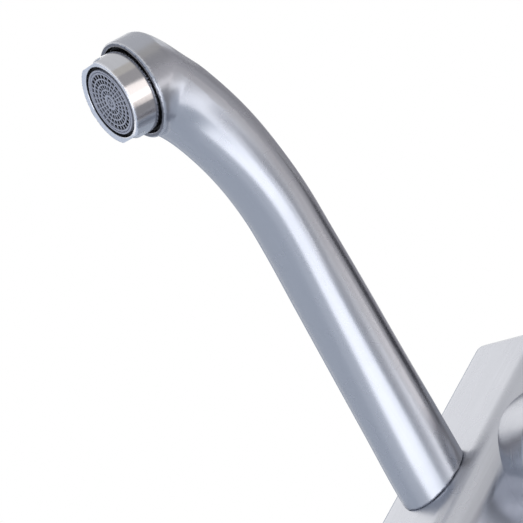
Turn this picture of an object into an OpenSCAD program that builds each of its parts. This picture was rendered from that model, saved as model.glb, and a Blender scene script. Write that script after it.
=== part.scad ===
// Single-lever basin mixer: a square column on the worktop, a flat spout arm that rises
// from its front and bends down to a tilted aerator, and a side lever on its right.
// The origin is where the column's axis meets the worktop. +Z is up, the spout points
// along -Y and the lever's cartridge lies along +X.

/* [Column] */
// Width of the column, from side to side
column_w = 46; // [44:0.5:56]
// Depth of the column, from front to back
column_d = 46; // [44:0.5:56]
// Height of the column's top above the worktop
column_h = 118; // [114:1:140]
// Radius of the column's upright edges
column_corner = 9; // [5:0.5:12]
// Rounding of the column's top edge
column_edge = 2.5; // [1:0.25:4]
// Wall around the column's open foot
foot_wall = 4; // [3:0.25:5]
// Height of the foot's ceiling, where hoses and stud screw in
foot_h = 40; // [30:1:42]

/* [Base] */
// Width of the flange's rim around the column
flange_rim = 4; // [2:0.5:8]
// Height of the flange
flange_h = 5; // [3:0.5:8]
// Thickness of the rubber gasket under the column
gasket_t = 1.5; // [1:0.25:3]
// Width of the gasket's rubber, inwards from its outer edge
gasket_band = 8; // [6:0.5:9]

/* [Spout arm] */
// Width of the arm
arm_w = 27; // [24:0.5:27.5]
// Thickness of the arm
arm_t = 14.4; // [13.5:0.1:16]
// Radius of the arm's long edges
arm_corner = 6.5; // [3:0.25:6.6]
// Height of the arm's centreline at the column's front
arm_z = 68; // [64:0.5:76]
// Rise of the straight run above level
arm_rise = 24.3; // [18:0.1:30]
// Length of the straight run
arm_run = 84.5; // [60:0.5:110]
// Angle that the arm bends down by, towards the outlet
arm_bend = 27.8; // [20:0.1:32]
// Radius of the bend, at the arm's centreline
arm_bend_r = 114; // [90:1:140]
// Diameter of the water passage in the arm
waterway_d = 8; // [6:0.5:9]
// How far the passage lies above the arm's centreline
waterway_up = 1.2; // [0:0.1:1.5]
// Diameter of the spigot brazed into the column
spigot_d = 12.5; // [11:0.25:13]
// Length of the spigot
spigot_l = 7; // [5:0.5:9]

/* [Outlet] */
// Outer diameter of the outlet
outlet_d = 29.2; // [28:0.1:31]
// Tilt of the outlet's axis, forwards from straight down
outlet_tilt = 25; // [15:0.5:30]
// Depth of the outlet's rim below the arm's centreline
outlet_drop = 8.6; // [8.2:0.1:11]
// Rounding of the arm's nose above the outlet
nose_edge = 3; // [2:0.25:5]
// Diameter of the recess around the aerator
recess_d = 25.5; // [25:0.1:26.5]
// Depth of that recess
recess_depth = 2; // [1:0.1:3]

/* [Aerator] */
// Outer diameter of the aerator's collar
aerator_d = 24.6; // [24:0.1:24.9]
// How far the collar stands below the outlet's rim
aerator_reach = 8; // [5:0.1:10]
// Width across the two wrench flats
flats_w = 23.3; // [22.6:0.1:23.8]
// Height of the wrench flats, from the mouth
flats_h = 3.4; // [3:0.1:4.9]
// Diameter of the aerator's thread
aerator_thread_d = 22; // [21.4:0.1:22.4]
// Length of the aerator's thread
aerator_thread_l = 3.6; // [2.5:0.1:4.4]
// Diameter of the spray insert
insert_d = 19.4; // [18.8:0.1:20]
// Diameter of the open groove's outer wall, around the spray insert
mouth_d = 21.4; // [20.6:0.1:21.8]
// Thickness of the spray insert
insert_t = 2.2; // [1.5:0.1:3]
// How far the insert's face sits inside the mouth
insert_recess = 0.5; // [0.3:0.1:1.5]
// Number of slots in each ring of the insert, from the outermost
insert_slots = [30, 28, 24, 16];
// Thickness of the rubber washer above the aerator
washer_t = 1.2; // [0.8:0.1:1.5]

/* [Cartridge] */
// Height of the column's top over the cartridge's axis
cartridge_drop = 30; // [28:0.5:34]
// Outer diameter of the cartridge
cartridge_d = 34.8; // [34:0.1:35.2]
// Depth of the cartridge's seat below the column's side face
seat_depth = 23; // [22.5:0.25:23.5]
// Thickness of the cartridge's base
base_t = 5; // [4:0.25:6]
// Thickness of each ceramic disc
disc_t = 3.5; // [3:0.1:4]
// Thickness of the carrier that moves the upper disc
carrier_t = 5.2; // [5:0.1:6]
// Wall of the cartridge's housing
housing_wall = 2.1; // [1.8:0.1:2.4]
// Diameter of the rotor's neck
neck_d = 20; // [19:0.25:21]
// Diameter of the stem's pivot pin
pin_d = 4; // [3:0.1:4.5]
// Side of the square stem
stem_side = 8; // [7:0.1:8.4]
// Distance from the pivot pin to the stem's inner ball
ball_reach = 7.5; // [7.3:0.05:7.7]
// Diameter of the stem's inner ball
ball_d = 5.8; // [5:0.1:6]
// Half of the stem's swing, which is its tilt when the water is off
stem_tilt = 12.5; // [8:0.25:13]
// Length of the stem beyond the pivot pin
stem_l = 29; // [27:0.5:31]

/* [Handle] */
// Outer diameter of the boss, the dome cover and the handle's hub
hub_d = 43; // [42:0.25:45]
// Wall of the handle's hub
hub_wall = 3.5; // [2.5:0.25:4]
// Distance from the pivot pin to the hub's outer face
hub_out = 34; // [33:0.5:38]
// Rounding of the hub's outer edge
hub_edge = 2.5; // [1:0.25:4]
// Length of the lever, from the hub's axis to its tip
lever_l = 76; // [60:1:100]
// Width of the lever
lever_w = 22; // [16:0.5:28]
// Thickness of the lever
lever_t = 6.5; // [5:0.25:8]
// Rounding of the lever's outer edges
lever_edge = 2; // [0.5:0.25:2.5]
// Lean of the lever away from the column
lever_lean = 6; // [0:0.5:10]

/* [Fixing] */
// Diameter of the mounting stud
stud_d = 8; // [6:0.5:8]
// Length of the stud below the worktop's surface
stud_reach = 66; // [55:1:90]
// Distance of the stud from the column's axis, towards the right
stud_x = 11; // [10:0.25:12]
// Width across the flats of the stud's nut
nut_af = 13; // [12:0.5:15]
// Length of the stud's nut
nut_l = 12; // [8:0.5:16]
// Diameter of the two horseshoe washers
horseshoe_d = 46; // [44:0.5:52]
// Width of the slot that lets the hoses past
hose_slot_w = 29; // [28:0.5:30]
// Thickness of the rubber horseshoe
horseshoe_rubber_t = 3; // [2:0.25:4]
// Thickness of the steel horseshoe
horseshoe_steel_t = 2; // [1.5:0.25:3]

/* [Water ports] */
// Bore of the threaded inlet ports
port_d = 9; // [8.5:0.1:9.2]
// Depth of the threaded inlet ports
port_depth = 11; // [9:0.5:13]
// Spacing of the two inlets
port_pitch = 16; // [14.5:0.5:16.5]
// Bore of the passages from the inlets to the cartridge
passage_d = 7; // [5:0.25:7.5]

/* [Clearances] */
// Radial clearance of turning and sliding pieces
run_gap = 0.05; // [0.02:0.01:0.1]
// Radial clearance of pieces that are screwed or pushed in
seat_gap = 0.05; // [0.02:0.01:0.15]
// Free space at the ends of turning pieces
end_gap = 0.2; // [0.1:0.05:0.3]

/* [Hidden] */

$fn = 96;
// Overlap of a cutter with the face that it starts from
eps = 0.01;
// Step where a round would else only touch the face beside it
slight = 0.03;
// Length by which a cutter passes the far face
over = 1;
// Reach of a cutter that only has to be longer than the piece
far = 200;

nickel = [0.74, 0.73, 0.73];
bare_brass = [0.80, 0.66, 0.38];
steel = [0.62, 0.63, 0.65];
rubber = [0.10, 0.10, 0.11];
grey_plastic = [0.58, 0.60, 0.67];
white_plastic = [0.90, 0.90, 0.88];
blue_plastic = [0.30, 0.42, 0.60];
ceramic = [0.93, 0.92, 0.88];

// Column and what lies on its faces
front_y = -column_d / 2;
side_x = column_w / 2;
seat_x = side_x - seat_depth;
cartridge_z = column_h - cartridge_drop;

// Cartridge stations along its axis, counted from its seat
disc_z = base_t;
slide_z = disc_z + disc_t;
carrier_z = slide_z + disc_t;
rotor_z = carrier_z + carrier_t + end_gap;
rotor_flange = 3;
collar_z = rotor_z + rotor_flange + end_gap;
shoulder_t = 0.6;
shoulder_z = collar_z + shoulder_t;
ball_depth = 3.5;
pin_z = carrier_z + ball_depth + ball_reach;
neck_over_pin = 13;
neck_top_z = pin_z + neck_over_pin;
collar_l = 6;
collar_top_z = shoulder_z + collar_l;
collar_r = 13.5;
boss_l = 5;
boss_end = seat_depth + boss_l;
nut_grip = 3.4;
nut_hex_h = 3.5;
nut_top = boss_end + nut_grip + nut_hex_h;
cover_roof = 2.2;
cover_top_z = nut_top + cover_roof;
cover_wall_t = 1.7;
cover_edge = 4;
nut_play = 0.3;
cover_hole_r = neck_d / 2 + 1.8;
housing_r = cartridge_d / 2;
cavity_r = housing_r - housing_wall;
nut_thread_r = housing_r + 1.5;
nut_hex_r = nut_thread_r - 1.4;
slider_rest = -ball_reach * sin(stem_tilt);

// Locating pins under the cartridge, and keys that hold the fixed disc
locator_x = 12;
locator_y = -7;
locator_d = 3.5;
locator_l = 2.5;
disc_keys = [90, 210, 330];
key_r = 1.5;
key_in = 1.8;
key_gap = 0.1;
key_under_top = 0.5;
disc_gap = 0.8;

// Moving disc, the slider that carries it and the rails that guide the slider
slider_r = 12;
moving_disc_r = slider_r - 0.5;
lug_in = 4.5;
lug_w = 6;
lug_l = 1.4;
lug_gap = 0.1;
rail_x = 8.2;
rail_w = 2;
rail_h = 2;
rail_l = 15;
rail_gap = 0.15;
ball_gap = 0.15;
pocket_d = [9, 8.4];
pocket_at = [[0, -3.4], [5, -1.4]];

// Stem, its slot in the rotor and the seal around the rotor's neck
stem_shoulder = 4;
stem_waist = 4.4;
stem_slot_w = stem_side + 0.4;
stem_slot_l = stem_side / cos(stem_tilt) + 2 * neck_over_pin * tan(stem_tilt) + 1;
pin_short = 1;
o_ring_t = 1.8;
o_ring_up = 3;
o_ring_gap = 0.1;
o_ring_z = shoulder_z + o_ring_up;
o_ring_mid = neck_d / 2 + run_gap + o_ring_gap + o_ring_t / 2;
o_ring_out = o_ring_mid + o_ring_t / 2 + seat_gap;

// Ports on the cartridge's seat: two inlets side by side and the outlet under them
port_up = 4.5;
port_down = -6;
outlet_bore_d = 8;
outlet_seal_lip = 0.5;
seal_band = 1.9;
seal_t = 1.8;

// Water passages in the column. Cross passages are narrower than the upright ones they meet.
inlet_back = 12.5;
outlet_back = 6.5;
cross_less = 0.8;
outlet_run = column_d / 2 / cos(arm_rise);
outlet_floor = arm_z - outlet_run * sin(arm_rise) + waterway_up;

// Arm and outlet
bend_end = [0, arm_bend_r * (cos(arm_bend) - 1), arm_run + arm_bend_r * sin(arm_bend)];
nose_sweep = atan(outlet_d / arm_bend_r);
nose_dip = arm_bend - arm_rise + outlet_tilt;
socket_gap = 0.3;
thread_r = aerator_thread_d / 2 + seat_gap;
washer_room = 0.1;
thread_bore_l = aerator_thread_l + washer_t + washer_room;
chamber_r = 8;
chamber_over = 2;

// Aerator stations along its axis, counted upwards from the outlet's rim
mouth_z = -aerator_reach;
mouth_groove = insert_recess + insert_t * 2 / 3;
insert_z = mouth_z + insert_recess;
mixer_z = insert_z + insert_t;
mixer_t = 3.2;
restrictor_z = mixer_z + mixer_t;
restrictor_t = 1;
screen_z = restrictor_z + restrictor_t;
screen_t = 1.2;
collar_top = recess_depth - washer_room;
aerator_top = recess_depth + aerator_thread_l;
lip = 0.3;
washer_in = 0.3;
washer_lip = 0.8;

// Holes of the steel screen, the flow restrictor and the mixer
screen_hole_r = 0.8;
screen_rows = 3;
screen_pitch = 2.4;
restrictor_hole_r = 0.9;
restrictor_pitch = 5;
mixer_holes = 6;
mixer_hole_r = 1;
mixer_wall = 2;
mixer_floor = 1;
notch_w = 2.4;
notch_h = 1.5;
notch_l = 3;

// Spray face
insert_outer_r = 8.4;
insert_boss_r = 1.95;
rib_t = 0.4;

// Hub of the handle, in distances from the pivot pin
hub_front = cover_top_z - pin_z + 0.8;
hub_slope = 4.5;
hub_ceiling = 22;
stem_end_gap = 0.3;
screw_at = 26;
screw_d = 5;
screw_l = 7;
screw_hex_r = 1.45;
screw_hex_l = 2.5;
plug_d = 6.4;
plug_t = 2.4;
plug_sunk = 1;
plug_at = hub_d / 2 - plug_t - plug_sunk;

// Flange round the foot, and the gasket under both
flange_edge = 1.5;
gasket_in = 0.5;

// Fixing kit under the worktop, stacked on the nut
nut_end = 8;
nut_z = -stud_reach + nut_end;
plate_z = nut_z + nut_l;
rubber_z = plate_z + horseshoe_steel_t;
stud_grip = 12;
stud_hole_over = 0.5;
stud_play = 0.3;
hose_slot_x = 4;

// Flat outline with round corners
module round_rect(w, d, r) {
    square([w - 2 * r, d], center = true);
    square([w, d - 2 * r], center = true);
    for (x = [-1, 1], y = [-1, 1])
        translate([x * (w / 2 - r), y * (d / 2 - r)])
            circle(r);
}

// Upright block with round corners whose top edge is rounded over all round
module soft_block(w, d, h, r, edge) {
    linear_extrude(h - edge)
        round_rect(w, d, r);
    linear_extrude(h)
        round_rect(w - 2 * edge, d - 2 * edge, r - edge);
    for (x = [-1, 1], y = [-1, 1])
        translate([x * (w / 2 - r), y * (d / 2 - r), h - edge])
            rotate_extrude()
                soft_corner(r, edge);
    for (side = [-1, 1]) {
        translate([side * (w / 2 - edge), 0, h - edge])
            rotate([90, 0, 0])
                cylinder(r = edge, h = d - 2 * r, center = true);
        translate([0, side * (d / 2 - edge), h - edge])
            rotate([0, 90, 0])
                cylinder(r = edge, h = w - 2 * r, center = true);
    }
}

// Cylinder between two stations along its axis
module cylinder_from(r, low, high) {
    translate([0, 0, low])
        cylinder(r = r, h = high - low);
}

// Half section of a disc whose upper rim is a quarter round
module soft_corner(r, edge) {
    square([r - edge, edge]);
    intersection() {
        translate([r - edge, 0])
            circle(edge);
        translate([r - edge, 0])
            square(edge);
    }
}

// Round bar whose upper rim is a quarter round
module soft_cylinder(r, h, edge) {
    rotate_extrude() {
        square([r, h - edge]);
        translate([0, h - edge])
            soft_corner(r, edge);
    }
}

// Ring with a square section
module ring(outer_r, inner_r, h) {
    difference() {
        cylinder(r = outer_r, h = h);
        translate([0, 0, -eps])
            cylinder(r = inner_r, h = h + 2 * eps);
    }
}

// Frame of the arm: its root on the column's front, +Z along the straight run
module at_arm() {
    translate([0, front_y, arm_z])
        rotate([90 - arm_rise, 0, 0])
            children();
}

// Frame of the outlet: on its axis at the arm's centreline, +Z up that axis
module at_outlet() {
    at_arm()
        translate(bend_end)
            rotate([arm_rise - 90 - outlet_tilt, 0, 0])
                children();
}

// Frame of the aerator: on the outlet's axis in the plane of its rim
module at_aerator() {
    at_outlet()
        translate([0, 0, -outlet_drop])
            children();
}

// Frame of the cartridge: +Z out of the column's right side, +Y up, +X to the back
module at_cartridge() {
    translate([seat_x, 0, cartridge_z])
        rotate([90, 0, 90])
            children();
}

// Frame of the stem: at the pivot pin, tilted as it is when the water is off
module at_stem() {
    at_cartridge()
        translate([0, 0, pin_z])
            rotate([-stem_tilt, 0, 0])
                children();
}

// Cross-section of the arm
module arm_section() {
    round_rect(arm_w, arm_t, arm_corner);
}

// Sweep of a section along the arm, from behind its root and round a bend of the given angle
module along_arm(back, bend) {
    translate([0, 0, -back])
        linear_extrude(arm_run + back)
            children();
    translate([0, -arm_bend_r, arm_run])
        rotate([90, 0, 90])
            rotate_extrude(angle = bend)
                translate([arm_bend_r, 0])
                    rotate(90)
                        children();
}

module column() {
    color(nickel)
        difference() {
            union() {
                translate([0, 0, gasket_t])
                    soft_block(column_w, column_d, column_h - gasket_t, column_corner,
                        column_edge);
                translate([seat_x, 0, cartridge_z])
                    rotate([0, 90, 0])
                        cylinder(d = hub_d, h = boss_end);
            }
            foot_hollow();
            cartridge_pocket();
            column_passages();
            spigot_socket();
        }
}

// Open foot of the column, with the hole for the stud in its ceiling
module foot_hollow() {
    inner_r = max(column_corner - foot_wall, 1);
    translate([0, 0, -eps])
        linear_extrude(foot_h + eps)
            round_rect(column_w - 2 * foot_wall, column_d - 2 * foot_wall, inner_r);
    translate([stud_x, 0, foot_h - eps])
        cylinder(d = stud_d + 2 * seat_gap, h = stud_grip + stud_hole_over);
}

// Seat, bore and nut thread for the cartridge
module cartridge_pocket() {
    at_cartridge() {
        cylinder(r = housing_r + seat_gap, h = boss_end + eps);
        translate([0, 0, shoulder_z])
            cylinder(r = nut_thread_r + seat_gap, h = boss_end);
        for (x = [-1, 1])
            translate([x * locator_x, locator_y, -locator_l - socket_gap])
                cylinder(d = locator_d + 2 * seat_gap, h = locator_l + over);
    }
}

// Inlet ports and passages up to the seat, and the outlet passage to the arm. The upright
// passages end past the cross passages.
module column_passages() {
    for (y = [-1, 1])
        translate([seat_x - inlet_back, y * port_pitch / 2, 0]) {
            cylinder_from(port_d / 2, foot_h - eps, foot_h + port_depth);
            cylinder_from(passage_d / 2, foot_h, cartridge_z + port_up + passage_d / 2);
            translate([0, 0, cartridge_z + port_up])
                rotate([0, 90, 0])
                    cylinder(d = passage_d - cross_less, h = inlet_back + eps);
        }
    translate([seat_x - outlet_back, 0, 0]) {
        cylinder_from(outlet_bore_d / 2, outlet_floor - outlet_bore_d / 2,
            cartridge_z + port_down + outlet_bore_d / 2);
        for (z = [outlet_floor, cartridge_z + port_down])
            translate([0, 0, z])
                rotate([0, 90, 0])
                    cylinder(d = outlet_bore_d - cross_less, h = outlet_back + eps);
    }
    at_arm()
        translate([0, waterway_up, -outlet_run])
            cylinder(d = waterway_d, h = outlet_run);
}

// Socket that takes the arm's spigot
module spigot_socket() {
    at_arm()
        translate([0, 0, -spigot_l - socket_gap])
            cylinder(d = spigot_d + 2 * seat_gap, h = far / 4);
}

module spout_arm() {
    color(nickel)
        difference() {
            union() {
                difference() {
                    at_arm()
                        along_arm(arm_t, arm_bend + nose_sweep)
                            arm_section();
                    translate([-far / 2, front_y, 0])
                        cube(far);
                    nose_front();
                    nose_corner();
                }
                at_arm()
                    translate([0, 0, -spigot_l])
                        cylinder(d = spigot_d, h = spigot_l + arm_t);
                at_aerator()
                    cylinder(d = outlet_d, h = outlet_drop);
            }
            arm_waterway();
            outlet_bores();
        }
}

// Everything before the outlet's axis that isn't over the outlet
module nose_front() {
    at_aerator()
        difference() {
            translate([-far / 2, -far, -far / 2])
                cube(far);
            translate([0, 0, outlet_drop])
                cylinder(d = outlet_d, h = far);
        }
}

// Corner between the nose's front wall and the arm's top, which is rounded
module nose_corner() {
    inset = nose_edge - slight;
    back = inset - outlet_d / 2;
    up = (arm_t / 2 - inset + sin(nose_dip) * back) / cos(nose_dip);
    reach = 2 * nose_edge;
    side = [-reach * sin(nose_dip), reach * cos(nose_dip)];
    at_outlet()
        rotate([90, 0, 90])
            translate([back, up])
                linear_extrude(2 * outlet_d, center = true)
                    difference() {
                        polygon([[0, 0], [-reach, 0], side - [reach, 0], side]);
                        circle(nose_edge);
                    }
}

// Water passage through the spigot and the arm
module arm_waterway() {
    at_arm()
        along_arm(spigot_l + eps, arm_bend)
            translate([0, waterway_up])
                circle(d = waterway_d);
}

// Recess, aerator thread and chamber in the outlet
module outlet_bores() {
    at_aerator() {
        translate([0, 0, -eps])
            cylinder(d = recess_d, h = recess_depth + eps);
        cylinder(r = thread_r, h = recess_depth + thread_bore_l);
        cylinder(r = chamber_r, h = recess_depth + thread_bore_l + chamber_over);
    }
}

module base_flange() {
    opening_r = column_corner + seat_gap;
    color(nickel)
        translate([0, 0, gasket_t])
            difference() {
                soft_block(column_w + 2 * flange_rim, column_d + 2 * flange_rim, flange_h,
                    column_corner + flange_rim, flange_edge);
                translate([0, 0, -eps])
                    linear_extrude(flange_h + over)
                        round_rect(column_w + 2 * seat_gap, column_d + 2 * seat_gap, opening_r);
            }
}

module base_gasket() {
    gasket_w = column_w + 2 * flange_rim - 2 * gasket_in;
    gasket_d = column_d + 2 * flange_rim - 2 * gasket_in;
    color(rubber)
        difference() {
            linear_extrude(gasket_t)
                round_rect(gasket_w, gasket_d, column_corner + flange_rim - gasket_in);
            translate([0, 0, -eps])
                linear_extrude(gasket_t + 1)
                    round_rect(gasket_w - 2 * gasket_band, gasket_d - 2 * gasket_band,
                        column_corner / 2);
        }
}

module mounting_stud() {
    color(steel)
        translate([stud_x, 0, -stud_reach])
            cylinder(d = stud_d, h = stud_reach + foot_h + stud_grip);
}

// Washer with a slot that is open to the left, so that it slips past the hoses
module horseshoe(t) {
    difference() {
        cylinder(d = horseshoe_d, h = t);
        translate([hose_slot_x - far, -hose_slot_w / 2, -eps])
            cube([far, hose_slot_w, t + over]);
        translate([stud_x, 0, -eps])
            cylinder(d = stud_d + 2 * stud_play, h = t + over);
    }
}

module horseshoe_gasket() {
    color(rubber)
        translate([0, 0, rubber_z])
            horseshoe(horseshoe_rubber_t);
}

module horseshoe_plate() {
    color(steel)
        translate([0, 0, plate_z])
            horseshoe(horseshoe_steel_t);
}

module stud_nut() {
    color(bare_brass)
        translate([stud_x, 0, nut_z])
            difference() {
                cylinder(r = nut_af / 2 / cos(30), h = nut_l, $fn = 6);
                translate([0, 0, -eps])
                    cylinder(d = stud_d + 2 * seat_gap, h = nut_l + over);
            }
}

module aerator_housing() {
    bore_d = insert_d + 2 * seat_gap;
    color(nickel)
        at_aerator()
            difference() {
                union() {
                    translate([0, 0, mouth_z])
                        rotate_extrude()
                            polygon([[0, 0], [aerator_d / 2 - lip, 0], [aerator_d / 2, lip],
                                [aerator_d / 2, collar_top - mouth_z], [0, collar_top - mouth_z]]);
                    cylinder(d = aerator_thread_d, h = aerator_top);
                }
                translate([0, 0, mouth_z - eps])
                    cylinder(d = bore_d, h = screen_z + screen_t + seat_gap - mouth_z);
                translate([0, 0, mouth_z - eps])
                    cylinder(r = chamber_r, h = far / 4);
                translate([0, 0, mouth_z - eps])
                    cylinder(d = mouth_d, h = mouth_groove + eps);
                for (side = [-1, 1])
                    translate([0, side * (flats_w + aerator_d) / 2, mouth_z])
                        cube([aerator_d, aerator_d, 2 * flats_h], center = true);
            }
}

module aerator_washer() {
    color(rubber)
        at_aerator()
            translate([0, 0, aerator_top])
                ring(aerator_thread_d / 2 - washer_in, chamber_r - washer_lip, washer_t);
}

// Disc with rings of round holes
module strainer(r, t, hole_r, rows, pitch) {
    difference() {
        cylinder(r = r, h = t);
        for (row = [1:rows])
            for (i = [0:6 * row - 1])
                rotate(i * 60 / row)
                    translate([row * pitch, 0, -eps])
                        cylinder(r = hole_r, h = t + over, $fn = 24);
    }
}

module aerator_screen() {
    color(steel)
        at_aerator()
            translate([0, 0, screen_z])
                strainer(insert_d / 2, screen_t, screen_hole_r, screen_rows, screen_pitch);
}

module flow_restrictor() {
    color(blue_plastic)
        at_aerator()
            translate([0, 0, restrictor_z])
                strainer(insert_d / 2, restrictor_t, restrictor_hole_r, 1, restrictor_pitch);
}

// Cup that breaks the jets up and draws air in through the notches in its wall
module aerator_mixer() {
    color(white_plastic)
        at_aerator()
            translate([0, 0, mixer_z])
                difference() {
                    cylinder(d = insert_d, h = mixer_t);
                    translate([0, 0, -eps])
                        cylinder(r = insert_d / 2 - mixer_wall, h = mixer_t - mixer_floor);
                    for (i = [0:mixer_holes - 1]) {
                        rotate((i + 0.5) * 360 / mixer_holes)
                            translate([insert_d / 4, 0, 0])
                                cylinder(r = mixer_hole_r, h = mixer_t + over, $fn = 24);
                        rotate(i * 360 / mixer_holes)
                            translate([insert_d / 2, 0, 0])
                                cube([notch_l, notch_w, 2 * notch_h], center = true);
                    }
                }
}

// Spray face: rings of slots between thin round ribs, around a small centre boss
module aerator_insert() {
    rings = len(insert_slots);
    slot_zone = insert_outer_r - insert_boss_r;
    pitch = slot_zone / rings;
    color(grey_plastic)
        at_aerator()
            translate([0, 0, insert_z]) {
                difference() {
                    cylinder(d = insert_d, h = insert_t);
                    translate([0, 0, -eps])
                        cylinder(r = insert_outer_r, h = insert_t + over);
                }
                for (k = [0:rings - 1]) {
                    outer = insert_outer_r - k * pitch;
                    ring(outer - pitch + rib_t, outer - pitch, insert_t);
                    for (i = [0:insert_slots[k] - 1])
                        rotate(i * 360 / insert_slots[k])
                            translate([outer - pitch + rib_t / 2, -rib_t / 2, 0])
                                cube([pitch, rib_t, insert_t]);
                }
                ring(insert_boss_r, insert_boss_r - rib_t, insert_t);
            }
}

module cartridge_base() {
    color(white_plastic)
        at_cartridge()
            difference() {
                union() {
                    cylinder(r = housing_r, h = base_t);
                    for (x = [-1, 1])
                        translate([x * locator_x, locator_y, -locator_l])
                            cylinder(d = locator_d, h = locator_l + eps);
                    for (a = disc_keys)
                        rotate(a)
                            translate([cavity_r - key_in, 0, 0])
                                cylinder(r = key_r, h = base_t + disc_t - key_under_top);
                }
                at_ports(passage_d, base_t);
                at_seals(seal_band);
            }
}

// Cutters through the two inlets and the outlet of the cartridge
module at_ports(bore, t) {
    for (x = [-1, 1])
        translate([x * port_pitch / 2, port_up, -over])
            cylinder(d = bore, h = t + 2 * over);
    translate([0, port_down, -over])
        cylinder(d = bore, h = t + 2 * over);
}

// Pockets that hold the three seals against the seat
module at_seals(band) {
    for (x = [-1, 1])
        translate([x * port_pitch / 2, port_up, -eps])
            cylinder(d = passage_d + 2 * band, h = seal_t + eps);
    translate([0, port_down, -eps])
        cylinder(d = outlet_bore_d + 2 * band, h = seal_t + eps);
}

module inlet_seals() {
    color(rubber)
        at_cartridge()
            for (x = [-1, 1])
                translate([x * port_pitch / 2, port_up, 0])
                    ring(passage_d / 2 + seal_band - seat_gap, passage_d / 2, seal_t);
}

module outlet_seal() {
    color(rubber)
        at_cartridge()
            translate([0, port_down, 0])
                ring(outlet_bore_d / 2 + seal_band - seat_gap,
                    outlet_bore_d / 2 - outlet_seal_lip, seal_t);
}

module fixed_disc() {
    color(ceramic)
        at_cartridge()
            translate([0, 0, disc_z])
                difference() {
                    cylinder(r = cavity_r - disc_gap, h = disc_t);
                    at_ports(passage_d - cross_less, disc_t);
                    for (a = disc_keys)
                        rotate(a)
                            translate([cavity_r - key_in, 0, -eps])
                                cylinder(r = key_r + key_gap, h = disc_t + over);
                }
}

module moving_disc() {
    color(ceramic)
        at_cartridge()
            translate([0, slider_rest, slide_z])
                difference() {
                    cylinder(r = moving_disc_r, h = disc_t);
                    translate([0, 0, -eps])
                        linear_extrude(disc_t / 2)
                            mixing_pocket();
                    for (x = [-1, 1])
                        translate([x * (slider_r + lug_in), 0, disc_t])
                            cube([slider_r, lug_w + 2 * lug_gap, disc_t], center = true);
                }
}

// Hollow under the moving disc that joins the inlets to the outlet
module mixing_pocket() {
    translate(pocket_at[0])
        circle(d = pocket_d[0]);
    for (x = [-1, 1])
        translate([x * pocket_at[1][0], pocket_at[1][1]])
            circle(d = pocket_d[1]);
}

module disc_carrier() {
    color(blue_plastic)
        at_cartridge()
            translate([0, slider_rest, carrier_z])
                difference() {
                    union() {
                        cylinder(r = slider_r, h = carrier_t);
                        for (x = [-1, 1])
                            intersection() {
                                translate([0, 0, -lug_l])
                                    cylinder(r = slider_r, h = lug_l + over);
                                translate([x * (slider_r + lug_in + lug_gap), 0, 0])
                                    cube([slider_r, lug_w, 2 * lug_l], center = true);
                            }
                    }
                    translate([0, 0, -eps])
                        cylinder(d = ball_d + 2 * ball_gap, h = carrier_t + over);
                    for (x = [-1, 1])
                        translate([x * rail_x, 0, carrier_t])
                            cube([rail_w + 2 * rail_gap, far, 2 * (rail_h + end_gap)], center = true);
                }
}

module rotor() {
    color(white_plastic)
        at_cartridge()
            difference() {
                union() {
                    translate([0, 0, rotor_z])
                        cylinder(r = cavity_r - run_gap, h = rotor_flange);
                    translate([0, 0, rotor_z])
                        cylinder(d = neck_d, h = neck_top_z - rotor_z);
                    for (x = [-1, 1])
                        translate([x * rail_x - rail_w / 2, -rail_l / 2, rotor_z - rail_h])
                            cube([rail_w, rail_l, rail_h + eps]);
                }
                translate([0, 0, rotor_z])
                    cube([stem_slot_w, stem_slot_l, far], center = true);
                translate([0, 0, pin_z])
                    rotate([0, 90, 0])
                        cylinder(d = pin_d + 2 * seat_gap, h = far, center = true);
            }
}

module stem_pin() {
    color(steel)
        at_cartridge()
            translate([0, 0, pin_z])
                rotate([0, 90, 0])
                    cylinder(d = pin_d, h = neck_d - pin_short, center = true);
}

module lever_stem() {
    color(steel)
        at_stem()
            difference() {
                union() {
                    translate([-stem_side / 2, -stem_side / 2, -stem_shoulder])
                        cube([stem_side, stem_side, stem_l + stem_shoulder]);
                    translate([0, 0, -ball_reach])
                        cylinder(d = stem_waist, h = ball_reach);
                    translate([0, 0, -ball_reach])
                        sphere(d = ball_d);
                }
                rotate([0, 90, 0])
                    cylinder(r = pin_d / 2 + run_gap, h = far, center = true);
            }
}

module cartridge_housing() {
    color(grey_plastic)
        at_cartridge()
            difference() {
                union() {
                    translate([0, 0, base_t])
                        cylinder(r = housing_r, h = shoulder_z - base_t);
                    cylinder_from(collar_r, base_t, collar_top_z);
                }
                cylinder_from(cavity_r, base_t - eps, collar_z);
                cylinder_from(neck_d / 2 + run_gap, base_t, collar_top_z + over);
                cylinder_from(o_ring_out, o_ring_z - o_ring_t / 2 - o_ring_gap,
                    o_ring_z + o_ring_t / 2 + o_ring_gap);
            }
}

module stem_o_ring() {
    color(rubber)
        at_cartridge()
            translate([0, 0, o_ring_z])
                rotate_extrude()
                    translate([o_ring_mid, 0])
                        circle(d = o_ring_t);
}

module cartridge_nut() {
    color(bare_brass)
        at_cartridge()
            difference() {
                union() {
                    cylinder_from(nut_thread_r, shoulder_z, boss_end + nut_grip);
                    translate([0, 0, boss_end])
                        cylinder(r = nut_hex_r, h = nut_top - boss_end, $fn = 6);
                }
                cylinder_from(collar_r + seat_gap, shoulder_z - over, nut_top + over);
            }
}

module dome_cover() {
    color(nickel)
        at_cartridge()
            difference() {
                translate([0, 0, boss_end])
                    soft_cylinder(hub_d / 2, cover_top_z - boss_end, cover_edge);
                cylinder_from(nut_thread_r + seat_gap, boss_end - over,
                    boss_end + nut_grip + end_gap);
                cylinder_from(nut_hex_r + nut_play, boss_end, cover_top_z - cover_wall_t);
                cylinder_from(cover_hole_r, boss_end, cover_top_z + over);
            }
}

// Frame of the handle: at the pivot pin, +Y along the lever
module at_handle() {
    at_cartridge()
        translate([0, 0, pin_z])
            children();
}

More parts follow.
